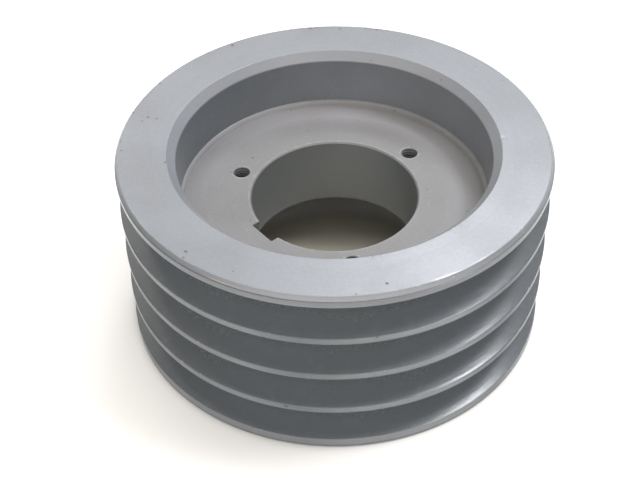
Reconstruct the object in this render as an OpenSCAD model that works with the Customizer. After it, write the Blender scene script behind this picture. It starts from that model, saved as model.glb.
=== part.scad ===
// Taper-bored V-belt sheave: one grey-iron casting, drawn as the regions that it is machined from.
// Millimetres. The axis is Z and the lower rim face lies on Z = 0.
// Neighbouring regions share a face and never overlap, so together they fill the whole casting.

/* [Rim] */
// Outside diameter over the lands between the grooves
outside_d = 176.53; // [172:0.01:200]
// Diameter of the straight wall inside the rim
rim_inside_d = 128; // [124:0.1:132]
// Width of the chamfer where the inside wall meets each rim face
mouth_chamfer = 3.5; // [1:0.1:4]
// Radial size of the bevel on the upper outer edge
edge_bevel_r = 1.3; // [0.5:0.1:2]
// Axial size of the bevel on the upper outer edge
edge_bevel_h = 1.9; // [0.5:0.1:3]
// Radial size of the bevel on the lower outer edge
foot_bevel_r = 0.5; // [0.3:0.1:2]
// Axial size of the bevel on the lower outer edge
foot_bevel_h = 0.9; // [0.3:0.1:3]

/* [Belt grooves] */
// Number of grooves side by side
groove_count = 4; // [2:1:8]
// Distance between neighbouring groove centres
groove_pitch = 19.05; // [18.6:0.05:24]
// Distance from a rim face to the centre of the groove next to it
edge_to_groove = 12.7; // [12:0.1:16]
// Width of a groove's mouth at the outside diameter
groove_top_w = 16.18; // [15:0.01:17]
// Angle between a groove's two flanks, in degrees
groove_angle = 34; // [30:1:40]
// Depth of a groove below the outside diameter
groove_depth = 15; // [13:0.1:16]
// Size of the broken corner where a flank meets a land
land_break = 0.6; // [0.2:0.1:0.6]

/* [Web] */
// Depth of the web's machined face below the upper rim face
recess_depth = 26; // [10:0.1:40]
// Thickness of the web, which is flush with the hub on the upper side
web_t = 25.4; // [14:0.1:28]
// Radial width of the unmachined ledge left at the foot of the rim's wall
ledge_w = 1; // [0.5:0.1:2]
// Height of that ledge above the machined face
ledge_h = 1.9; // [0.5:0.1:3]
// Radial width of the slope from the ledge down to the machined face
ledge_slope_w = 1.4; // [0.5:0.1:3]
// Radius of the cast fillets on the web's lower side
web_fillet = 3; // [1:0.1:4]

/* [Hub] */
// Diameter of the hub and of its boss below the web
hub_d = 108; // [100:0.1:112]
// Length of the hub along the axis, which is the length of the tapered bore
hub_length = 33; // [30:0.05:40]
// Chamfer on the lower outer edge of the boss
boss_chamfer = 1.6; // [0.5:0.1:2]
// Large diameter of the tapered bore, at the hub's lower face
bore_large_d = 71.44; // [70:0.01:73]
// Length along which the bore's diameter shrinks by one unit
bore_taper = 16; // [12:1:24]
// Chamfer at both ends of the bore
bore_chamfer = 0.7; // [0.3:0.1:2]

/* [Keyway] */
// Width of the keyway
keyway_w = 12.7; // [9:0.1:14]
// Distance from the axis to the keyway's flat floor
keyway_floor = 38.2; // [37.6:0.1:40]
// Direction of the keyway around the axis, in degrees
keyway_angle = 218.6; // [0:0.1:360]

/* [Tapped holes] */
// Number of tapped holes around the bore
hole_count = 3; // [3:1:4]
// Diameter of the circle that the tapped holes lie on
hole_circle_d = 84.14; // [84:0.01:90]
// Diameter of a tapped hole between its thread's crests
hole_d = 6.53; // [5:0.01:7]
// Diameter of the countersink at both ends of a tapped hole
countersink_d = 7.2; // [6.8:0.1:9.5]
// Direction of the first tapped hole around the axis, in degrees
first_hole_angle = 38.6; // [0:0.1:360]

/* [Hidden] */

$fn = 180;
arc_steps = 8;
// How far a cutter runs past the face that it opens
cut_past = 1;

outside_r = outside_d / 2;
floor_r = outside_r - groove_depth;
rim_inside_r = rim_inside_d / 2;
face_w = 2 * edge_to_groove + (groove_count - 1) * groove_pitch;
flank_slope = tan(groove_angle / 2);

hub_r = hub_d / 2;
hub_top = face_w - recess_depth;
hub_bottom = hub_top - hub_length;
web_bottom = hub_top - web_t;
bore_large_r = bore_large_d / 2;
bore_small_r = bore_large_r - hub_length / bore_taper / 2;
countersink_depth = (countersink_d - hole_d) / 2;

enamel = [0.70, 0.72, 0.74];
enamel_shaded = [0.62, 0.64, 0.66];
machined_iron = [0.52, 0.53, 0.52];

// Half the width of a groove at radius r
function groove_half_w(r) = groove_top_w / 2 - (outside_r - r) * flank_slope;

// Half the width of the rib between two grooves at radius r
function rib_half_w(r) = groove_pitch / 2 - groove_half_w(r);

// Width of the flange outside an edge groove at radius r
function edge_w(r) = edge_to_groove - groove_half_w(r);

// Points along an arc from angle a to angle b
function arc(centre, r, a, b) = [
    for (i = [0 : arc_steps])
        let (t = a + (b - a) * i / arc_steps)
            centre + r * [cos(t), sin(t)]
];

// The cylinder under the grooves: its outside is the groove floors and its inside the recess wall
module rim() {
    color(enamel)
    rotate_extrude()
    polygon([
        [rim_inside_r, mouth_chamfer],
        [rim_inside_r + mouth_chamfer, 0],
        [floor_r, 0],
        [floor_r, face_w],
        [rim_inside_r + mouth_chamfer, face_w],
        [rim_inside_r, face_w - mouth_chamfer]
    ]);
}

// The flange that closes an edge groove, with its rim face on Z = 0 and a bevel of the given size there
module edge_flange(bevel_r, bevel_h) {
    rotate_extrude()
    polygon([
        [floor_r, 0],
        [outside_r - bevel_r, 0],
        [outside_r, bevel_h],
        [outside_r, edge_w(outside_r) - land_break],
        [outside_r - land_break, edge_w(outside_r - land_break)],
        [floor_r, edge_w(floor_r)]
    ]);
}

module lower_edge_flange() {
    color(enamel)
    edge_flange(foot_bevel_r, foot_bevel_h);
}

module upper_edge_flange() {
    color(enamel)
    translate([0, 0, face_w])
    mirror([0, 0, 1])
    edge_flange(edge_bevel_r, edge_bevel_h);
}

// The rib between groove i and groove i + 1, counted from the lower face
module groove_rib(i) {
    rib_z = edge_to_groove + (i - 0.5) * groove_pitch;
    break_r = outside_r - land_break;
    land_half_w = rib_half_w(outside_r) - land_break;
    color(enamel_shaded)
    translate([0, 0, rib_z])
    rotate_extrude()
    polygon([
        [floor_r, -rib_half_w(floor_r)],
        [break_r, -rib_half_w(break_r)],
        [outside_r, -land_half_w],
        [outside_r, land_half_w],
        [break_r, rib_half_w(break_r)],
        [floor_r, rib_half_w(floor_r)]
    ]);
}

// The disc that joins the hub to the rim
module web() {
    color(enamel_shaded)
    rotate_extrude()
    polygon(concat(
        [
            [hub_r, hub_top],
            [rim_inside_r - ledge_w - ledge_slope_w, hub_top],
            [rim_inside_r - ledge_w, hub_top + ledge_h],
            [rim_inside_r, hub_top + ledge_h]
        ],
        arc([rim_inside_r - web_fillet, web_bottom - web_fillet], web_fillet, 0, 90),
        arc([hub_r + web_fillet, web_bottom - web_fillet], web_fillet, 90, 180)
    ));
}

module keyway_cutter() {
    rotate([0, 0, keyway_angle])
    translate([0, -keyway_w / 2, hub_bottom - cut_past])
    cube([keyway_floor, keyway_w, hub_length + 2 * cut_past]);
}

module tapped_hole_cutter() {
    translate([0, 0, hub_bottom - cut_past])
    cylinder(h = hub_length + 2 * cut_past, d = hole_d);
    for (end = [[hub_bottom, 0], [hub_top, 1]])
        translate([0, 0, end[0]])
        mirror([0, 0, end[1]])
        translate([0, 0, -cut_past])
        cylinder(
            h = countersink_depth + cut_past,
            d1 = countersink_d + 2 * cut_past,
            d2 = hole_d
        );
}

// The ring around the tapered bore, which holds the keyway and the tapped holes
module hub() {
    color(machined_iron)
    difference() {
        rotate_extrude()
        polygon([
            [bore_large_r + bore_chamfer, hub_bottom],
            [hub_r - boss_chamfer, hub_bottom],
            [hub_r, hub_bottom + boss_chamfer],
            [hub_r, hub_top],
            [bore_small_r + bore_chamfer, hub_top],
            [bore_small_r, hub_top - bore_chamfer],
            [bore_large_r, hub_bottom + bore_chamfer]
        ]);
        keyway_cutter();
        for (i = [0 : hole_count - 1])
            rotate([0, 0, first_hole_angle + i * 360 / hole_count])
            translate([hole_circle_d / 2, 0, 0])
            tapped_hole_cutter();
    }
}

rim();
upper_edge_flange();
lower_edge_flange();
for (i = [1 : groove_count - 1])
    groove_rib(i);
web();
hub();
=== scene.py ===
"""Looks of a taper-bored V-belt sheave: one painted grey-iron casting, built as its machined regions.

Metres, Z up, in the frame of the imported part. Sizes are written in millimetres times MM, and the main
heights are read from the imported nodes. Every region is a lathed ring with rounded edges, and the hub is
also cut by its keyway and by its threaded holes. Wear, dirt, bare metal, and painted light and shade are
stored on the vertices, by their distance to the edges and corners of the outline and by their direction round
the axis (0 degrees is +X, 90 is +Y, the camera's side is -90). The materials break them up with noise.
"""

from math import atan2, ceil, cos, pi, radians, sin, tan
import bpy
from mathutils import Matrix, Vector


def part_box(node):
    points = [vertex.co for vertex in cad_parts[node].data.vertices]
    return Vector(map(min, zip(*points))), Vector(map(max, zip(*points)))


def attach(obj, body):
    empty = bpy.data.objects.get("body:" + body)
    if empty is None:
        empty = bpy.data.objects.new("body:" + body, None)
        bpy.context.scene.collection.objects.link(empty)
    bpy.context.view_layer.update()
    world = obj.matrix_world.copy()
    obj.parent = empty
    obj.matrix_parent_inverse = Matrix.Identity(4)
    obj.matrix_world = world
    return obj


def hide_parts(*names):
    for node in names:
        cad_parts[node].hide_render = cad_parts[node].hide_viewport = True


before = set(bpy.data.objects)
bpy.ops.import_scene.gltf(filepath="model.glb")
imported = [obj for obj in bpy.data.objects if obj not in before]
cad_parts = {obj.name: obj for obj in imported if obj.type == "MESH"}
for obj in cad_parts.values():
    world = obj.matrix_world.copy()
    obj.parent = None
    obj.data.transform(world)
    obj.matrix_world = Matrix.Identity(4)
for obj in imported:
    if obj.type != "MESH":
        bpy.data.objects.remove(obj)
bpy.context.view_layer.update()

from types import SimpleNamespace

import bpy
import numpy as np
from mathutils import Matrix, Vector

MM = 0.001
SEED = 7

# ---------------------------------------------------------------- sizes of the casting

FACE_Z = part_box("rim")[1].z
OUTSIDE_R = 88.265 * MM
FLOOR_R = OUTSIDE_R - 15 * MM
RIM_INSIDE_R = 64 * MM
MOUTH_CHAMFER = 3.5 * MM
MOUTH_R = RIM_INSIDE_R + MOUTH_CHAMFER
EDGE_BEVEL_R = 1.3 * MM
EDGE_BEVEL_H = 1.9 * MM
FOOT_BEVEL_R = 0.5 * MM
FOOT_BEVEL_H = 0.9 * MM
TOOL_LINE = 0.5 * MM

GROOVE_PITCH = 19.05 * MM
EDGE_TO_GROOVE = 12.7 * MM
GROOVE_TOP_W = 16.18 * MM
FLANK_ANGLE = radians(34 / 2)
GROOVE_FOOT = 1.2 * MM
GROOVE_FOOT_REACH = GROOVE_FOOT / tan((pi / 2 + FLANK_ANGLE) / 2)
RIBS = 3

WEB_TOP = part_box("hub")[1].z
WEB_THICKNESS = 25.4 * MM
WEB_BOTTOM = WEB_TOP - WEB_THICKNESS
LEDGE_W = 1.0 * MM
LEDGE_H = 1.9 * MM
LEDGE_SLOPE_W = 1.2 * MM
WEB_FILLET = 3 * MM

HUB_R = 54 * MM
HUB_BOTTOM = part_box("hub")[0].z
BOSS_CHAMFER = 1.6 * MM
TAPER = 1 / 32
BORE_LARGE_R = 35.72 * MM
BORE_SMALL_R = BORE_LARGE_R - (WEB_TOP - HUB_BOTTOM) * TAPER
BORE_CHAMFER = 0.7 * MM
KEYWAY_HALF_W = 6.35 * MM
KEYWAY_FLOOR = 38.2 * MM
KEYWAY_ANGLE = radians(218.6)

HOLE_CIRCLE_R = 42.07 * MM
HOLE_ANGLES = [radians(38.6 + 120 * i) for i in range(3)]
THREAD_PITCH = 1.411 * MM
THREAD_MINOR_R = 3.265 * MM
THREAD_MAJOR_R = 3.97 * MM
COUNTERSINK_R = 3.6 * MM

# Steps round the axis, and the longest step along each region's outline. A region stays under 200000
# triangles, so the wide surfaces are coarser.
SEGMENTS = 720
FLANGE_STEP = 0.8 * MM
RIB_STEP = 0.9 * MM
WEB_STEP = 1.4 * MM
HUB_STEP = 1.9 * MM
RIM_STEP = 2.4 * MM

FINISHED = "finished_"

# ---------------------------------------------------------------- where wear, dirt, and painted light and shade are

# Directions in degrees: the two polished streaks on the upper flange, which are partly painted highlights,
# the middle of its bevel's painted light, the side of the rim's inside wall with the most painted shade, the
# side of the web with the most painted light, and the side of its corner with dirt and painted shadow
POLISHED_HIGHLIGHT_AT = -60
BEVEL_POLISHED_HIGHLIGHT_AT = -112
PALE_BEVEL_AT = -85
DARK_WALL_AT = 155
LIT_SIDE_AT = 60
DIRT_AND_SHADOW_AT = 20

# Dark marks on the upper rim face: direction in degrees, radius and size in millimetres
FACE_MARKS = [
    (165, 75.5, 1.1), (165, 79.5, 1.0), (167, 81, 0.7), (181, 85.5, 1.1), (177, 86.5, 0.8),
    (188, 68, 1.2), (164, 86.5, 1.0), (149, 86, 0.9), (129, 86.5, 1.1), (121, 85, 1.5),
    (119, 87, 1.3), (112, 87, 1.0), (102, 86.5, 1.2), (99, 87, 1.4), (96, 86, 1.8), (94, 86.5, 1.5),
    (87, 84.5, 1.2), (84, 87, 1.5), (79, 86.5, 1.6), (76, 86.5, 1.9), (73, 87, 1.3), (58, 87, 1.0),
    (30, 84.5, 0.7), (-78, 82.5, 1.1), (-132, 83.5, 1.3), (-86, 86, 0.7),
]
# How dark the lands are painted, by direction: direction in degrees, share. It follows the photograph; it is
# painted shade, darkest at both sides.
LAND_DARKNESS = [
    (-175, 1.0), (-155, 1.0), (-140, 0.4), (-115, 0.4), (-100, 0.7), (-85, 0.3), (-60, 0.2), (-45, 1.0),
    (-20, 1.0), (20, 0.5), (160, 0.5),
]
# Knocks on the upper outer edge: direction in degrees, width and depth in millimetres
UPPER_EDGE_KNOCKS = [
    (95, 2.4, 0.20), (86, 2.0, 0.16), (77, 2.6, 0.20), (-108, 1.8, 0.16), (-84, 1.5, 0.14), (-62, 2.2, 0.18),
    (-38, 1.6, 0.14), (170, 1.4, 0.12), (12, 1.3, 0.10),
]


# ---------------------------------------------------------------- outlines

def rounded(points, steps=7):
    """The outline with each (r, z, radius) corner turned into an arc, or kept where radius is 0."""
    out = []
    for i, (r, z, radius) in enumerate(points):
        here = Vector((r, z))
        if not radius:
            out.append(here)
            continue
        back = (Vector(points[i - 1][:2]) - here).normalized()
        ahead = (Vector(points[(i + 1) % len(points)][:2]) - here).normalized()
        half = back.angle(ahead) / 2
        reach = radius / tan(half)
        centre = here + (back + ahead).normalized() * radius / sin(half)
        first, last = here + back * reach - centre, here + ahead * reach - centre
        start = atan2(first.y, first.x)
        turn = (atan2(last.y, last.x) - start + pi) % (2 * pi) - pi
        for k in range(steps + 1):
            t = start + turn * k / steps
            out.append(centre + radius * Vector((cos(t), sin(t))))
    return [p for i, p in enumerate(out) if (p - out[i - 1]).length > 1e-3 * MM]


def refined(outline, step):
    """The outline with each long side cut into pieces of at most step, and a short piece at both its ends."""
    end = 0.12 * MM
    out = []
    for i, p in enumerate(outline):
        q = outline[(i + 1) % len(outline)]
        length = (q - p).length
        out.append(p)
        if length > 3 * end:
            n = ceil((length - 2 * end) / step)
            out += [p.lerp(q, (end + (length - 2 * end) * k / n) / length) for k in range(n + 1)]
    return out


def groove_half_w(r):
    return GROOVE_TOP_W / 2 - (OUTSIDE_R - r) * tan(FLANK_ANGLE)


def rib_half_w(r):
    return GROOVE_PITCH / 2 - groove_half_w(r)


def edge_w(r):
    return EDGE_TO_GROOVE - groove_half_w(r)


def bore_r(z):
    return BORE_LARGE_R - (z - HUB_BOTTOM) * TAPER


# ---------------------------------------------------------------- meshes

def mesh_object(name, verts, faces):
    mesh = bpy.data.meshes.new(name)
    mesh.from_pydata(verts, [], faces)
    mesh.update()
    obj = bpy.data.objects.new(name, mesh)
    bpy.context.scene.collection.objects.link(obj)
    return obj


def lathe(name, outline):
    """A closed ring: the outline, counter-clockwise in (r, z), turned once round the axis."""
    n = len(outline)
    verts = []
    for k in range(SEGMENTS):
        a = 2 * pi * k / SEGMENTS
        verts += [(p.x * cos(a), p.x * sin(a), p.y) for p in outline]
    faces = []
    for k in range(SEGMENTS):
        here, there = k * n, (k + 1) % SEGMENTS * n
        for i in range(n):
            j = (i + 1) % n
            faces.append((here + i, there + i, there + j, here + j))
    return mesh_object(FINISHED + name, verts, faces)


def loft(name, rows):
    """A closed solid through rows of points, all of one length, each counter-clockwise seen from above."""
    n = len(rows[0])
    faces = [list(range(n))[::-1], [(len(rows) - 1) * n + i for i in range(n)]]
    for k in range(len(rows) - 1):
        for i in range(n):
            j = (i + 1) % n
            faces.append((k * n + i, k * n + j, (k + 1) * n + j, (k + 1) * n + i))
    return mesh_object(name, [p for row in rows for p in row], faces)


def coords(obj):
    co = np.empty(len(obj.data.vertices) * 3)
    obj.data.vertices.foreach_get("co", co)
    return co.reshape(-1, 3)


def set_coords(obj, co):
    obj.data.vertices.foreach_set("co", co.ravel())
    obj.data.update()


def polar(co):
    return np.hypot(co[:, 0], co[:, 1]), np.arctan2(co[:, 1], co[:, 0]), co[:, 2]


def near(co, circles, reach):
    """1 on the given (r, z) circles round the axis, fading to 0 over reach."""
    r, _, z = polar(co)
    best = np.zeros(len(co))
    for circle_r, circle_z in circles:
        best = np.maximum(best, np.exp(-((r - circle_r) ** 2 + (z - circle_z) ** 2) / reach**2))
    return best


def toward(angle, direction, spread):
    """1 in one direction round the axis, fading to 0 over the spread, both in degrees."""
    return np.exp(-(((np.degrees(angle) - direction) / spread) ** 2))


def angular_noise(angle, seed, waves=9):
    """A smooth closed curve round the axis, about -1 to 1."""
    rng = np.random.default_rng(seed)
    total = np.zeros_like(angle)
    for k in range(2, 2 + waves):
        total += rng.normal() / k**0.5 * np.cos(k * angle + rng.uniform(0, 2 * pi))
    return total / 2.2


def dent(co, knocks):
    """Pushes co in at each knock (direction, r, z, width, depth), and returns how hard each point was hit."""
    inward, to_middle = 0.75, 0.66
    hit = np.zeros(len(co))
    for direction, r, z, width, depth in knocks:
        a = radians(direction)
        centre = np.array([r * cos(a), r * sin(a), z])
        away = ((co - centre) ** 2).sum(1) / (width / 2) ** 2
        upward = -to_middle if z > FACE_Z / 2 else to_middle
        co += (np.exp(-away) * depth)[:, None] * np.array([-inward * cos(a), -inward * sin(a), upward])
        hit = np.maximum(hit, 1.5 * np.exp(-away) - 0.5)
    return hit


def knocks_round(circle, count, seed):
    """Small random knocks round one edge."""
    rng = np.random.default_rng(seed)
    return [
        (rng.uniform(0, 360), *circle, rng.uniform(0.7, 1.7) * MM, rng.uniform(0.04, 0.14) * MM)
        for _ in range(count)
    ]


def painted(obj, **layers):
    """Stores each layer of values from 0 to 1 on the vertices, and smooths all but the sharp edges."""
    for name, values in layers.items():
        attribute = obj.data.attributes.new(name, "FLOAT", "POINT")
        attribute.data.foreach_set("value", np.clip(values, 0, 1).astype(np.float32))
    obj.data.shade_smooth()
    obj.data.set_sharp_from_angle(angle=radians(32))
    return obj


# ---------------------------------------------------------------- the regions of the casting

def leave_as_cast(co):
    """Waves the unmachined wall inside the rim by a fraction of a millimetre."""
    r, angle, z = polar(co)
    past_mouth = np.minimum(z, FACE_Z - z) - MOUTH_CHAMFER - 1.5 * MM
    share = np.clip(past_mouth / (4 * MM), 0, 1) * np.clip(1 - (r - RIM_INSIDE_R) / MM, 0, 1)
    wave = 0.16 * angular_noise(angle, SEED) + 0.08 * np.sin(z / (7 * MM) + 3 * angle)
    co[:, :2] *= (1 + wave * MM * share / r)[:, None]


def make_rim():
    outline = rounded([
        (RIM_INSIDE_R, MOUTH_CHAMFER, 1.2 * MM),
        (MOUTH_R, 0, 0.35 * MM),
        (FLOOR_R, 0, 0),
        (FLOOR_R, FACE_Z, 0),
        (MOUTH_R, FACE_Z, 0.35 * MM),
        (RIM_INSIDE_R, FACE_Z - MOUTH_CHAMFER, 1.2 * MM),
    ])
    obj = lathe("rim", refined(outline, RIM_STEP))
    co = coords(obj)
    leave_as_cast(co)
    hit = dent(co, knocks_round((MOUTH_R, FACE_Z), 7, SEED + 2) + knocks_round((MOUTH_R, 0), 7, SEED + 3))
    set_coords(obj, co)
    r, angle, z = polar(co)
    mouths = [(MOUTH_R, 0), (MOUTH_R, FACE_Z)]
    inner = [(RIM_INSIDE_R, MOUTH_CHAMFER), (RIM_INSIDE_R, FACE_Z - MOUTH_CHAMFER)]
    foot = [(RIM_INSIDE_R, WEB_TOP + LEDGE_H), (RIM_INSIDE_R, WEB_BOTTOM - WEB_FILLET)]
    wear = 0.25 * near(co, mouths + inner, 0.5 * MM)
    floors = 1.0 * (r > FLOOR_R - 0.1 * MM)
    # Painted shade on the inside wall, darkest toward DARK_WALL_AT.
    dark_side = 0.08 + 0.72 * np.clip(np.cos(angle - radians(DARK_WALL_AT)), 0, 1) ** 2
    wall = (r < RIM_INSIDE_R + 0.3 * MM) * dark_side
    on_chamfer = (r < MOUTH_R) & (np.minimum(z, FACE_Z - z) < MOUTH_CHAMFER)
    return painted(
        obj,
        wear=np.maximum(wear, hit),
        # Darker toward the wall's foot and in the groove floors: dust and painted shade.
        grime=np.maximum(0.5 * near(co, foot, 4 * MM), 0.8 * floors),
        shade=np.maximum(floors, wall),
        # Painted light on the mouth chamfers, most on the lit side.
        film=0.7 * on_chamfer * painted_light_side(angle, LIT_SIDE_AT + 10),
    )


def land_shade(co, low, high, dirt_and_shade=1.0):
    """How dark the paint is: 1 on the flanks, dark at a land's foot as painted shade, and above it the
    painted shade of LAND_DARKNESS, scaled by the last argument.
    """
    r, angle, z = polar(co)
    up_the_land = np.clip((z - low) / (high - low), 0, 1)
    foot = 1.1 - 2.6 * up_the_land
    sides, shares = zip(*LAND_DARKNESS)
    side = dirt_and_shade * np.interp(np.degrees(angle), sides, shares, period=360)
    on_flank = r < OUTSIDE_R - 0.25 * MM
    return np.where(on_flank, 1.0, np.maximum(side, foot))


def upper_flange_shade(r, depth, front):
    """Dark on the flank, half dark on the land, and darker down the bevel except in front."""
    on_bevel = np.interp(depth, [0.1 * MM, 0.6 * MM, EDGE_BEVEL_H], [0, 0.6, 0.9]) * (1 - front)
    on_land = np.interp(depth, [EDGE_BEVEL_H + 0.3 * MM, edge_w(OUTSIDE_R)], [0.5, 0.35])
    shade = np.where(depth < EDGE_BEVEL_H, on_bevel, on_land)
    on_flank = (r < OUTSIDE_R - 0.35 * MM) & (depth > EDGE_BEVEL_H + 1 * MM)
    return np.where(on_flank, 1, shade)


def upper_flange_polish_and_highlight(co, angle):
    """Two bright streaks of polished iron, which stand partly for painted highlights: at the face's outer
    edge, and low on the bevel.
    """
    face_edge = (OUTSIDE_R - EDGE_BEVEL_R - 0.5 * MM, FACE_Z)
    low_bevel = (OUTSIDE_R - 0.35 * MM, FACE_Z - EDGE_BEVEL_H + 0.5 * MM)
    on_face = 1.25 * toward(angle, POLISHED_HIGHLIGHT_AT, 14) * near(co, [face_edge], 0.8 * MM)
    on_bevel = 1.3 * toward(angle, BEVEL_POLISHED_HIGHLIGHT_AT, 16) * near(co, [low_bevel], 0.4 * MM)
    return np.maximum(on_face, on_bevel)


def make_upper_edge_flange():
    outline = [
        (FLOOR_R, 0, 0),
        (OUTSIDE_R - EDGE_BEVEL_R, 0, 0.6 * MM),
        (OUTSIDE_R - 0.15 * MM, EDGE_BEVEL_H - 0.25 * MM, 0.12 * MM),
        (OUTSIDE_R - TOOL_LINE, EDGE_BEVEL_H, 0),
        (OUTSIDE_R, EDGE_BEVEL_H + 0.25 * MM, 0.12 * MM),
        (OUTSIDE_R, edge_w(OUTSIDE_R), 0.3 * MM),
        (FLOOR_R, edge_w(FLOOR_R), GROOVE_FOOT),
        (FLOOR_R, edge_w(FLOOR_R) + GROOVE_FOOT_REACH, 0),
    ]
    turned_over = [Vector((p.x, FACE_Z - p.y)) for p in reversed(refined(rounded(outline), FLANGE_STEP))]
    obj = lathe("upper_edge_flange", turned_over)
    co = coords(obj)
    bevel = (OUTSIDE_R - EDGE_BEVEL_R, FACE_Z)
    line = (OUTSIDE_R, FACE_Z - EDGE_BEVEL_H)
    land = (OUTSIDE_R, FACE_Z - edge_w(OUTSIDE_R))
    below_edge = 0.5 * MM
    knocks = [
        (direction, OUTSIDE_R - below_edge, FACE_Z - below_edge, width * MM, depth * MM)
        for direction, width, depth in UPPER_EDGE_KNOCKS
    ]
    hit = dent(co, knocks + knocks_round(bevel, 12, SEED + 4) + knocks_round(land, 7, SEED + 5))
    set_coords(obj, co)
    r, angle, z = polar(co)
    depth = FACE_Z - z
    front = toward(angle, PALE_BEVEL_AT, 45)
    patchy = 0.5 + 0.5 * angular_noise(angle, SEED + 6, 20)
    edges = 0.7 * near(co, [bevel], 0.45 * MM) + 0.4 * near(co, [line, land], 0.4 * MM)
    bevel_depths = [0.2 * MM, 0.5 * MM, EDGE_BEVEL_H, EDGE_BEVEL_H + 0.3 * MM]
    return painted(
        obj,
        wear=np.maximum(edges * patchy, hit),
        # Darker toward the groove's foot: dust and painted shade.
        grime=near(co, [(FLOOR_R, FACE_Z - edge_w(FLOOR_R))], 7 * MM),
        shade=upper_flange_shade(r, depth, front),
        polish=upper_flange_polish_and_highlight(co, angle),
        # Painted light on the bevel in front, standing for its highlight.
        film=0.85 * front * np.interp(depth, bevel_depths, [0, 1, 1, 0.2]),
    )


def make_lower_edge_flange():
    outline = rounded([
        (FLOOR_R, 0, 0),
        (OUTSIDE_R - FOOT_BEVEL_R, 0, 0.3 * MM),
        (OUTSIDE_R, FOOT_BEVEL_H, 0.3 * MM),
        (OUTSIDE_R, edge_w(OUTSIDE_R), 0.45 * MM),
        (FLOOR_R, edge_w(FLOOR_R), GROOVE_FOOT),
        (FLOOR_R, edge_w(FLOOR_R) + GROOVE_FOOT_REACH, 0),
    ])
    obj = lathe("lower_edge_flange", refined(outline, FLANGE_STEP))
    co = coords(obj)
    foot, land = (OUTSIDE_R - FOOT_BEVEL_R, 0), (OUTSIDE_R, edge_w(OUTSIDE_R))
    hit = dent(co, knocks_round(foot, 9, SEED + 7) + knocks_round(land, 7, SEED + 8))
    set_coords(obj, co)
    return painted(
        obj,
        wear=np.maximum(edge_wear(co, land, foot, SEED + 9), hit),
        # Darker toward the groove's foot: dust and painted shade.
        grime=near(co, [(FLOOR_R, edge_w(FLOOR_R))], 7 * MM),
        shade=land_shade(co, 0.5 * MM, edge_w(OUTSIDE_R) - 0.3 * MM, dirt_and_shade=0.6),
    )


def edge_wear(co, upper, lower, seed):
    """Paint rubbed thin along both edges of a land. It fades toward the sides, which paints them darker as
    shade, and is strongest where the upper edge is polished, which is partly a painted highlight.
    """
    r, angle, _ = polar(co)
    in_front = 0.1 + 0.9 * np.clip(-np.sin(angle), 0, 1) ** 3
    patchy = (0.7 + 0.3 * angular_noise(angle, seed, 20)) * in_front
    on_land = np.clip((r - OUTSIDE_R) / (0.5 * MM) + 1, 0, 1)
    above = near(co, [upper], 0.5 * MM) * on_land * (0.45 + 0.7 * toward(angle, POLISHED_HIGHLIGHT_AT, 10))
    return np.maximum(above, near(co, [lower], 0.3 * MM) * 0.2) * patchy


def make_groove_rib(i):
    middle = EDGE_TO_GROOVE + (i - 0.5) * GROOVE_PITCH
    top, base = rib_half_w(OUTSIDE_R), rib_half_w(FLOOR_R)
    outline = rounded([
        (FLOOR_R, middle - base - GROOVE_FOOT_REACH, 0),
        (FLOOR_R, middle - base, GROOVE_FOOT),
        (OUTSIDE_R, middle - top, 0.7 * MM),
        (OUTSIDE_R, middle + top, 0.45 * MM),
        (FLOOR_R, middle + base, GROOVE_FOOT),
        (FLOOR_R, middle + base + GROOVE_FOOT_REACH, 0),
    ])
    obj = lathe(f"groove_rib_{i}", refined(outline, RIB_STEP))
    co = coords(obj)
    upper, lower = (OUTSIDE_R, middle + top), (OUTSIDE_R, middle - top)
    hit = dent(co, knocks_round(upper, 9, SEED + 10 + i) + knocks_round(lower, 5, SEED + 20 + i))
    set_coords(obj, co)
    return painted(
        obj,
        wear=np.maximum(edge_wear(co, upper, lower, SEED + 30 + i), hit),
        # Darker toward the groove feet: dust and painted shade.
        grime=near(co, [(FLOOR_R, middle - base), (FLOOR_R, middle + base)], 7 * MM),
        shade=land_shade(co, middle - top, middle + 0.8 * top),
    )


def painted_light_side(angle, direction):
    """Painted light, pale and strongest on the side in that direction."""
    return (0.5 + 0.5 * np.cos(angle - radians(direction))) ** 2


def widen_ledge(co):
    """The wall isn't quite true to the turned web face, so the ledge is wider on one side."""
    wide_at, run_in = radians(25), 2 * MM
    r, angle, z = polar(co)
    inner = RIM_INSIDE_R - LEDGE_W - LEDGE_SLOPE_W
    on_ledge = (z > WEB_TOP - 0.01 * MM) & (r < RIM_INSIDE_R)
    share = on_ledge * np.clip((r - inner + run_in) / run_in, 0, 1)
    shift = 0.5 * np.cos(angle - wide_at) - 0.3 + 0.1 * angular_noise(angle, SEED + 1, 14)
    co[:, :2] *= (1 - shift * MM * share / r)[:, None]


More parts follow.
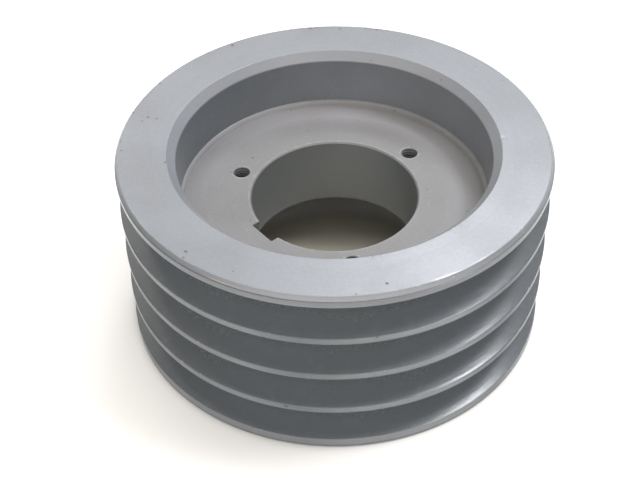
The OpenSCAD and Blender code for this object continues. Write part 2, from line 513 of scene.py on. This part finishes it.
def make_web():
    into_rim = 0.5 * MM
    sunk_r = RIM_INSIDE_R + into_rim
    ledge_r = RIM_INSIDE_R - LEDGE_W
    outline = rounded([
        (HUB_R, WEB_BOTTOM - WEB_FILLET, 0),
        (HUB_R, WEB_BOTTOM, WEB_FILLET),
        (RIM_INSIDE_R, WEB_BOTTOM, WEB_FILLET),
        (RIM_INSIDE_R, WEB_BOTTOM - WEB_FILLET, 0),
        (sunk_r, WEB_BOTTOM - WEB_FILLET, 0),
        (sunk_r, WEB_TOP + LEDGE_H, 0),
        (ledge_r, WEB_TOP + LEDGE_H, 0.5 * MM),
        (ledge_r - LEDGE_SLOPE_W, WEB_TOP, 0.5 * MM),
        (HUB_R, WEB_TOP, 0),
    ])
    obj = lathe("web", refined(outline, WEB_STEP))
    co = coords(obj)
    widen_ledge(co)
    set_coords(obj, co)
    r, angle, z = polar(co)
    # Darker at the wall's foot and on the ledge's riser, most on one side: dirt in the corner, and there the
    # painted shadow of the rim's wall.
    dirt_and_shadow_side = np.clip(0.5 + 0.7 * np.cos(angle - radians(DIRT_AND_SHADOW_AT)), 0, 1)
    riser = near(co, [(ledge_r - LEDGE_SLOPE_W, WEB_TOP + 0.3 * MM)], 1.4 * MM)
    foot = near(co, [(ledge_r, WEB_TOP), (RIM_INSIDE_R, WEB_BOTTOM)], 5 * MM)
    on_ledge = np.clip((z - WEB_TOP) / (0.6 * LEDGE_H), 0, 1)
    grime = np.maximum(0.3 * foot, riser) * dirt_and_shadow_side
    # Painted light on the face, paler outward and on the lit side, and on the ledge, which is also rubbed
    # paler, least where the painted shadow falls.
    outward = np.clip((r - HUB_R) / (ledge_r - HUB_R), 0, 1)
    on_face = (0.85 + 0.35 * outward**2) * painted_light_side(angle, LIT_SIDE_AT + 5)
    film = np.maximum(on_face, on_ledge * (1.1 - 0.6 * dirt_and_shadow_side))
    return painted(obj, wear=0.5 * on_ledge, grime=grime, film=film)


def keyway_cutter():
    """The keyway's section, with broken edges where its sides meet the bore, following the taper."""
    broken, floor_round, past = 0.35 * MM, 0.4 * MM, 1 * MM
    side, floor = KEYWAY_HALF_W, KEYWAY_FLOOR
    rows = []
    for z in np.linspace(HUB_BOTTOM - past, WEB_TOP + past, 34):
        mouth = (bore_r(z) ** 2 - side**2) ** 0.5 + broken
        right = [
            (mouth - 2 * MM, -side - 2 * MM), (mouth, -side), (floor - floor_round, -side),
            (floor, -side + floor_round),
        ]
        section = right + [(u, -v) for u, v in reversed(right)]
        c, s = cos(KEYWAY_ANGLE), sin(KEYWAY_ANGLE)
        rows.append([(u * c - v * s, u * s + v * c, z) for u, v in section])
    return loft("keyway_cutter", rows)


def thread_r(turn, z):
    """Radius of a right-handed 60-degree internal thread at that share of a turn and that height."""
    phase = (z / THREAD_PITCH - turn) % 1
    share = min(max((abs(2 * phase - 1) - 0.15) / 0.6, 0), 1)
    runout = min(max(min(z - HUB_BOTTOM, WEB_TOP - z) / (1.2 * MM), 0), 1)
    return THREAD_MINOR_R + (THREAD_MAJOR_R - THREAD_MINOR_R) * share * runout


def threaded_hole_cutter(angle):
    sides, past = 48, 0.4 * MM
    x, y = HOLE_CIRCLE_R * cos(angle), HOLE_CIRCLE_R * sin(angle)
    count = ceil((WEB_TOP - HUB_BOTTOM + 2 * past) / (THREAD_PITCH / 8))
    rows = []
    for z in np.linspace(HUB_BOTTOM - past, WEB_TOP + past, count):
        flare = COUNTERSINK_R - min(z - HUB_BOTTOM, WEB_TOP - z)
        radii = [max(thread_r(k / sides, z), flare) for k in range(sides)]
        rows.append([
            (x + r * cos(2 * pi * k / sides), y + r * sin(2 * pi * k / sides), z)
            for k, r in enumerate(radii)
        ])
    return loft("threaded_hole_cutter", rows)


def cut(obj, cutters):
    for cutter in cutters:
        modifier = obj.modifiers.new("cut", "BOOLEAN")
        modifier.operation, modifier.solver, modifier.object = "DIFFERENCE", "MANIFOLD", cutter
    shape = bpy.data.meshes.new_from_object(obj.evaluated_get(bpy.context.evaluated_depsgraph_get()))
    obj.modifiers.clear()
    obj.data = shape
    for cutter in cutters:
        bpy.data.objects.remove(cutter)


def bare_parts(co):
    """Where the hub is bare iron, and where that is inside a threaded hole: one mask for each."""
    slack = 0.02 * MM
    r, _, z = polar(co)
    depth = np.minimum(z - HUB_BOTTOM, WEB_TOP - z)
    in_hole = from_holes(co) < THREAD_MAJOR_R + slack
    along = co[:, 0] * cos(KEYWAY_ANGLE) + co[:, 1] * sin(KEYWAY_ANGLE)
    across = np.abs(co[:, 1] * cos(KEYWAY_ANGLE) - co[:, 0] * sin(KEYWAY_ANGLE))
    in_keyway = (across < KEYWAY_HALF_W + 0.5 * MM) & (along > 0) & (along < KEYWAY_FLOOR + slack)
    in_bore = (r < bore_r(z) + slack) & (depth > 0.9 * BORE_CHAMFER)
    return (depth > slack) & (in_hole | in_keyway | in_bore), in_hole


def from_holes(co):
    """The distance to the nearest threaded hole's axis."""
    return np.min([
        np.hypot(co[:, 0] - HOLE_CIRCLE_R * cos(a), co[:, 1] - HOLE_CIRCLE_R * sin(a)) for a in HOLE_ANGLES
    ], axis=0)


def hub_layers(co):
    """Wear on the bore's edges and in a ring round each hole, bare iron inside with painted shade deep in the
    holes, and painted light further out.
    """
    light_start_r = 43 * MM
    r, angle, z = polar(co)
    depth = np.minimum(z - HUB_BOTTOM, WEB_TOP - z)
    bare, in_hole = bare_parts(co)
    bore_edges = [(BORE_SMALL_R + BORE_CHAMFER, WEB_TOP), (BORE_LARGE_R + BORE_CHAMFER, HUB_BOTTOM)]
    past_hole = from_holes(co) - COUNTERSINK_R - 0.5 * MM
    ring = np.exp(-((past_hole / (0.6 * MM)) ** 2)) * (depth < 0.1 * MM)
    outward = np.clip((r - light_start_r) / (HUB_R - light_start_r), 0, 1)
    return {
        "wear": np.maximum(0.6 * near(co, bore_edges, 0.5 * MM), 0.7 * ring),
        # Painted shade deep in the threaded holes.
        "deep": in_hole * np.clip(depth / (5 * MM), 0, 1),
        "bare": bare,
        # Painted light toward the web, most on the lit side.
        "film": painted_light_side(angle, LIT_SIDE_AT) * outward**2,
    }


def make_hub():
    outline = rounded([
        (BORE_LARGE_R + BORE_CHAMFER, HUB_BOTTOM, 0.1 * MM),
        (HUB_R - BOSS_CHAMFER, HUB_BOTTOM, 0.6 * MM),
        (HUB_R, HUB_BOTTOM + BOSS_CHAMFER, 0.6 * MM),
        (HUB_R, WEB_TOP, 0),
        (BORE_SMALL_R + BORE_CHAMFER, WEB_TOP, 0.1 * MM),
        (BORE_SMALL_R, WEB_TOP - BORE_CHAMFER, 0.1 * MM),
        (BORE_LARGE_R, HUB_BOTTOM + BORE_CHAMFER, 0.1 * MM),
    ], steps=4)
    obj = lathe("hub", refined(outline, HUB_STEP))
    cut(obj, [keyway_cutter()] + [threaded_hole_cutter(a) for a in HOLE_ANGLES])
    return painted(obj, **hub_layers(coords(obj)))


# ---------------------------------------------------------------- materials

class Graph:
    """The nodes of a material or of the world. Each call adds one node and returns its output."""

    def __init__(self, owner, place="Object"):
        owner.use_nodes = True
        self.owner = owner
        self.tree = owner.node_tree
        self.tree.nodes.clear()
        self.place = self.add("TexCoord", output=place)

    def add(self, kind, inputs=(), output=0, **settings):
        made = self.tree.nodes.new("ShaderNode" + kind)
        for key, value in settings.items():
            setattr(made, key, value)
        for key, value in dict(inputs).items():
            if isinstance(value, bpy.types.NodeSocket):
                self.tree.links.new(value, made.inputs[key])
            else:
                made.inputs[key].default_value = value
        return made.outputs[output]

    def math(self, operation, a, b=0.0, clamp=False):
        return self.add("Math", {0: a, 1: b}, operation=operation, use_clamp=clamp)

    def axis(self, letter):
        parts = self.add("SeparateXYZ", {0: self.place})
        return parts.node.outputs[letter]

    def attribute(self, name):
        return self.add("Attribute", attribute_name=name, output="Fac")

    def times(self, a, b):
        return self.math("MULTIPLY", a, b)

    def noise(self, scale, detail, vector=None):
        return self.add("TexNoise", {"Vector": vector or self.place, "Scale": scale, "Detail": detail})

    def line_noise(self, value, scale, detail):
        return self.add("TexNoise", {"W": value, "Scale": scale, "Detail": detail}, noise_dimensions="1D")

    def step(self, value, low, high, to_low=0.0, to_high=1.0):
        """A smooth step from to_low at low to to_high at high."""
        inputs = {0: value, 1: low, 2: high, 3: to_low, 4: to_high}
        return self.add("MapRange", inputs, interpolation_type="SMOOTHSTEP")

    def off_middle(self, noise, amount):
        """A noise moved to lie round 0 and scaled by the amount."""
        return self.times(self.math("SUBTRACT", noise, 0.5), amount)

    def mix(self, share, a, b):
        """A colour between a and b."""
        return self.add("Mix", {0: share, 6: a, 7: b}, output=2, data_type="RGBA")

    def blend(self, share, a, b):
        """A number between a and b."""
        return self.add("Mix", {0: share, 2: a, 3: b}, data_type="FLOAT")

    def scaled(self, colour, factor):
        return self.add("VectorMath", {0: colour, 3: factor}, operation="SCALE")

    def bump(self, height, distance, normal=None):
        inputs = {"Height": height, "Distance": distance, "Strength": 1.0}
        if normal:
            inputs["Normal"] = normal
        return self.add("Bump", inputs)

    def finish(self, surface):
        """Puts the surface's values on the shader, and returns the material."""
        shader = self.add("BsdfPrincipled", surface, output="BSDF")
        end = self.tree.nodes.new("ShaderNodeOutputMaterial")
        self.tree.links.new(shader, end.inputs["Surface"])
        return self.owner


def rgb(r, g, b):
    return (r, g, b, 1.0)


# Linear colours. The greys were set against the photograph's average ones.
BLUE_GREY = rgb(0.292, 0.306, 0.334)
GROOVE_GREY = rgb(0.189, 0.210, 0.230)
WARM_GREY = rgb(0.236, 0.231, 0.237)
# The grey of the painted light
PAINTED_LIGHT_GREY = rgb(0.420, 0.412, 0.436)
CHALKY = rgb(0.40, 0.415, 0.435)
DUST = rgb(0.17, 0.155, 0.125)
IRON = rgb(0.19, 0.19, 0.18)
IRON_BRIGHT = rgb(0.46, 0.44, 0.43)
IRON_DARK = rgb(0.085, 0.08, 0.075)
RUST = rgb(0.16, 0.085, 0.045)
TURNED_DARK = rgb(0.228, 0.244, 0.248)
TURNED_LIGHT = rgb(0.254, 0.271, 0.275)


def ring_coordinate(g):
    """A length along the outline, whose level lines are the tool's rings, and r, direction and z."""
    x, y, z = (g.axis(letter) for letter in "XYZ")
    r = g.math("SQRT", g.math("ADD", g.math("POWER", x, 2.0), g.math("POWER", y, 2.0)))
    return g.math("ADD", r, z), r, g.math("ARCTAN2", y, x), z


def textures(g):
    """What the layers of one material share: places on the casting, and noises from clouds to grain.

    A noise's scale is in cells to the metre, so the clouds are 40 mm wide and the grain is 0.4 mm.
    """
    ring, r, turn, z = ring_coordinate(g)
    along_rings = g.add("CombineXYZ", {0: g.times(turn, 0.012), 1: r, 2: z})
    mottle, speckle = g.noise(210, 4), g.noise(900, 3)
    return SimpleNamespace(
        ring=ring,
        r=r,
        clouds=g.noise(26, 3),
        mottle=mottle,
        speckle=speckle,
        grain=g.noise(2600, 2),
        rub=g.noise(420, 3, along_rings),
        broken=g.math("ADD", g.times(mottle, 0.5), g.times(speckle, 0.5)),
    )


def paint_colour(g, t, base, shade):
    """Clouded enamel with chalky rubs under painted light, and where shade is given, the darker flanks, with
    painted light deep in the grooves and painted shade on the inside wall.
    """
    darker = rgb(*(0.91 * c for c in base[:3]))
    colour = g.mix(g.step(t.clouds, 0.35, 0.68), base, darker)
    if shade:
        # Painted light on the flanks: lighter deep in the groove, darker toward the lands; and painted shade
        # on the rim's inside wall.
        by_depth = g.step(t.r, FLOOR_R + 3 * MM, OUTSIDE_R, 1.22, 0.76)
        inside_rim = g.step(t.r, MOUTH_R - 1 * MM, MOUTH_R + 1 * MM, 0.72, 1)
        flank = g.scaled(GROOVE_GREY[:3], g.times(by_depth, inside_rim))
        colour = g.mix(shade, colour, flank)
    colour = g.mix(g.step(t.mottle, 0.50, 0.78, 0, 0.09), colour, CHALKY)
    colour = g.mix(g.step(t.rub, 0.60, 0.80, 0, 0.10), colour, CHALKY)
    colour = g.scaled(colour, g.step(t.speckle, 0.3, 0.7, 1.02, 0.97))
    # Painted light: the paint turns paler where the vertices store it.
    return g.mix(g.times(g.attribute("film"), 0.6), colour, PAINTED_LIGHT_GREY)


def dirt_and_shade_share(g, t, dust_and_shade_amount):
    """Dust and painted shade where the vertices store them, and thin dust in the clouds."""
    dirt_and_shade = g.math("ADD", g.times(g.attribute("grime"), 0.75), g.step(t.clouds, 0.45, 0.75, 0, 0.25))
    speckled = g.times(dirt_and_shade, g.step(t.speckle, 0.2, 0.7, 0.75, 1.0))
    return g.math("MULTIPLY", speckled, dust_and_shade_amount, clamp=True)


def wear_shares(g, t):
    """How far the paint is rubbed chalky, and where it is chipped to bare metal."""
    wear = g.attribute("wear")
    rubbed = g.step(g.math("ADD", wear, g.off_middle(t.broken, 1.0)), 0.30, 0.85, 0, 0.55)
    chipped = g.step(g.math("ADD", wear, g.off_middle(t.broken, 2.4)), 0.98, 1.06)
    return rubbed, chipped


def speck_share(g, t, marks):
    """Small dark specks anywhere, and the given marks with ragged edges."""
    specks = g.step(g.noise(330, 1), 0.79, 0.805)
    for direction, radius, size in marks:
        a = radians(direction)
        centre = Vector((radius * MM * cos(a), radius * MM * sin(a), FACE_Z))
        away = g.add("VectorMath", {0: g.place, 1: centre}, output="Value", operation="DISTANCE")
        ragged = g.math("ADD", away, g.off_middle(t.speckle, 0.9 * size * MM))
        specks = g.math("MAXIMUM", specks, g.step(ragged, 0.55 * size * MM, 0.4 * size * MM))
    return specks


def chip_colour(g, t):
    metal = g.mix(g.step(g.noise(520, 3), 0.42, 0.62), IRON_BRIGHT, RUST)
    return g.mix(g.step(t.speckle, 0.4, 0.65), metal, IRON)


def enamel(name, base, gloss, dust_and_shade_amount, tool_marks=0.5, marks=(), shaded=False, bare=False):
    """Machinery enamel over turned iron. Where bare is set, the bore, keyway and holes have none."""
    g = Graph(bpy.data.materials.new(name))
    t = textures(g)
    shade = g.attribute("shade") if shaded else None

    dirt_and_shade = dirt_and_shade_share(g, t, dust_and_shade_amount)
    rubbed, chipped = wear_shares(g, t)
    specks = speck_share(g, t, marks)
    # Bright polished iron, partly a painted highlight, where the vertices store it and in streaks along the
    # rings.
    polish_and_highlight_share = g.math("ADD", g.attribute("polish"), g.off_middle(t.rub, 2.2))
    polish_and_highlight_share = g.step(polish_and_highlight_share, 0.6, 1.15)

    colour = paint_colour(g, t, base, shade)
    colour = g.mix(dirt_and_shade, colour, DUST)
    colour = g.mix(rubbed, colour, CHALKY)
    colour = g.mix(chipped, colour, chip_colour(g, t))
    speck_colour = g.mix(g.step(t.mottle, 0.45, 0.7, 0.1, 0.7), IRON_DARK, RUST)
    colour = g.mix(g.times(specks, 0.7), colour, speck_colour)
    colour = g.mix(polish_and_highlight_share, colour, IRON_BRIGHT)
    chipped = g.math("MAXIMUM", chipped, specks)

    rough = g.step(t.clouds, 0.3, 0.7, gloss - 0.015, gloss + 0.02)
    rough = g.math("ADD", rough, g.step(t.speckle, 0.3, 0.7, -0.01, 0.02))
    rough = g.blend(rubbed, rough, 0.40)
    rough = g.blend(dirt_and_shade, rough, 0.75)
    rough = g.blend(chipped, rough, 0.5)
    rough = g.blend(polish_and_highlight_share, rough, 0.3)

    orange_peel = g.math("ADD", g.noise(620, 2), g.times(t.grain, 0.2))
    tool_rings = g.times(g.line_noise(t.ring, 1500, 2), tool_marks)
    normal = g.bump(orange_peel, 0.028 * MM)
    normal = g.bump(tool_rings, 0.04 * MM, normal)
    normal = g.bump(g.times(chipped, -1.0), 0.12 * MM, normal)

    surface = {"Base Color": colour, "Roughness": rough, "Normal": normal}
    surface["Metallic"] = g.times(polish_and_highlight_share, 0.35)
    if shaded:
        surface["Specular IOR Level"] = shine(g, t, shade)
    if bare:
        bare_iron(g, t, surface)
    return g.finish(surface)


def shine(g, t, shade):
    """The flanks reflect most, and the lands and the inside wall, where shade is painted, least."""
    below_land = g.step(t.r, OUTSIDE_R - 0.1 * MM, OUTSIDE_R - 0.4 * MM)
    on_flank = g.times(g.step(shade, 0.8, 1.0), below_land)
    return g.blend(on_flank, g.step(shade, 0.2, 0.6, 0.5, 0.2), 1.05)


def bare_iron(g, t, surface):
    """Puts turned iron in the surface where there is no paint, with painted shade deep in the threaded holes.
    """
    share = g.step(g.math("ADD", g.attribute("bare"), g.times(t.broken, 0.3)), 0.5, 0.8)
    turned = g.line_noise(t.ring, 2600, 3)
    iron = g.mix(g.step(turned, 0.35, 0.65), TURNED_DARK, TURNED_LIGHT)
    iron = g.mix(g.step(t.clouds, 0.4, 0.7, 0, 0.25), iron, DUST)
    colour = g.mix(share, surface["Base Color"], iron)
    # Painted shade deep in the holes.
    surface["Base Color"] = g.mix(g.times(g.attribute("deep"), 0.8), colour, IRON_DARK)
    surface["Roughness"] = g.blend(share, surface["Roughness"], g.step(turned, 0.3, 0.7, 0.42, 0.55))
    surface["Normal"] = g.bump(g.times(turned, share), 0.04 * MM, surface["Normal"])
    surface["Metallic"] = g.times(share, 0.3)


def floor_material():
    """Pale ground with a faint glow, except where the sheave stands, and painted light and shadow under its
    bore.
    """
    g = Graph(bpy.data.materials.new("pale_floor"))
    _, r, _, _ = ring_coordinate(g)
    colour = g.mix(g.noise(6, 3), rgb(0.92, 0.90, 0.885), rgb(0.94, 0.92, 0.905))
    # Painted light and shadow on the floor seen through the bore: light in front, shadow toward the back.
    under_bore = g.step(r, 50 * MM, 66 * MM, 1, 0)
    to_the_back = g.step(g.axis("Y"), 14 * MM, 40 * MM)
    painted_bore_light_and_shadow = g.mix(to_the_back, rgb(0.98, 0.93, 0.81), rgb(0.34, 0.32, 0.27))
    return g.finish({
        "Base Color": g.mix(under_bore, colour, painted_bore_light_and_shadow),
        "Roughness": 0.6,
        "Emission Color": rgb(1, 0.97, 0.93),
        "Emission Strength": g.step(r, 86 * MM, 92 * MM, 0, FLOOR_GLOW),
    })


# ---------------------------------------------------------------- stage, lights and camera

FLOOR_GLOW = 0.20
FLOOR_HALF = 3.0

# Soft boxes: azimuth from +X towards +Y, elevation and spread in degrees, and strength. Boxes stronger
# than KEY_LEAST are cool, and the others, which fill the shadows, are warm.
KEY_LEAST = 3
KEY_TINT = (0.965, 0.995, 1.05)
FILL_TINT = (1.03, 1.005, 0.955)
SOFT_BOXES = [
    (90, 10, 16, 0.5),
    (115, 35, 14, 1.6),
    (210, 35, 14, 0.8),
    (250, 35, 14, 1.6),
    (300, 35, 14, 1.8),
    (8, 62, 4, 30),
    (25, 60, 4, 12),
    (56, 43, 6, 1),
    (72, 48, 4.5, 12),
    (82, 44, 4, 7),
    (40, 75, 12, 2.5),
    (0, 90, 16, 2),
]

CAMERA_PLACE = Vector((-6.4, -403.1, 397.0)) * MM
CAMERA_ELEVATION = radians(42.27)
CAMERA_ROLL = radians(-1.08)
LENS = 71.2


def make_floor():
    ends = (-FLOOR_HALF, FLOOR_HALF)
    floor = mesh_object("floor", [(x, y, 0) for y in ends for x in ends], [(0, 1, 3, 2)])
    floor.data.materials.append(floor_material())


def make_lights():
    """Soft boxes far away in a dark studio. Each fades from its middle by exp(-(angle / spread)^2 / 2)."""
    g = Graph(bpy.data.worlds.new("studio"), place="Generated")
    total = (0.0, 0.0, 0.0)
    for azimuth, elevation, spread, strength in SOFT_BOXES:
        a, e = radians(azimuth), radians(elevation)
        middle = Vector((cos(a) * cos(e), sin(a) * cos(e), sin(e)))
        close = g.add("VectorMath", {0: g.place, 1: middle}, output="Value", operation="DOT_PRODUCT")
        fall = g.times(g.math("SUBTRACT", close, 1.0), 1 / radians(spread) ** 2)
        tint = KEY_TINT if strength > KEY_LEAST else FILL_TINT
        own = [channel * strength for channel in tint]
        total = g.add("VectorMath", {0: g.math("EXPONENT", fall), 1: own, 2: total}, operation="MULTIPLY_ADD")
    light = g.add("Background", {"Color": total, "Strength": 1.0})
    end = g.tree.nodes.new("ShaderNodeOutputWorld")
    g.tree.links.new(light, end.inputs["Surface"])
    bpy.context.scene.world = g.owner


def make_camera():
    """Where the part is seen from: above its front, very slightly rolled."""
    camera = bpy.data.cameras.new("camera")
    camera.lens, camera.sensor_width = LENS, 36
    obj = bpy.data.objects.new("camera", camera)
    turn = Matrix.Rotation(pi / 2 - CAMERA_ELEVATION, 4, "X") @ Matrix.Rotation(CAMERA_ROLL, 4, "Z")
    obj.matrix_world = Matrix.Translation(CAMERA_PLACE) @ turn
    bpy.context.scene.collection.objects.link(obj)
    bpy.context.scene.camera = obj


# ---------------------------------------------------------------- the whole

def place(piece, material, slot):
    """Every region rides on the one body, and stands for the CAD node that it is named after."""
    piece.data.materials.clear()
    piece.data.materials.append(material)
    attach(piece, "root")
    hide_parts(piece.name.removeprefix(FINISHED))


def build():
    rim_paint = enamel("rim_enamel", BLUE_GREY, gloss=0.18, dust_and_shade_amount=0.3, marks=FACE_MARKS, shaded=True)
    groove_paint = enamel("groove_enamel", BLUE_GREY, gloss=0.18, dust_and_shade_amount=0.3, shaded=True)
    web_paint = enamel("web_enamel", WARM_GREY, gloss=0.5, dust_and_shade_amount=0.6, tool_marks=0.8)
    hub_paint = enamel("hub_enamel", WARM_GREY, gloss=0.5, dust_and_shade_amount=0.6, tool_marks=0.8, bare=True)
    place(make_rim(), rim_paint, "rim_enamel")
    place(make_upper_edge_flange(), rim_paint, "rim_enamel")
    place(make_lower_edge_flange(), rim_paint, "rim_enamel")
    for i in range(1, RIBS + 1):
        place(make_groove_rib(i), groove_paint, "groove_enamel")
    place(make_web(), web_paint, "web_enamel")
    place(make_hub(), hub_paint, "hub_iron")


bpy.context.scene.view_settings.view_transform = "Standard"
make_camera()
build()
make_floor()
make_lights()
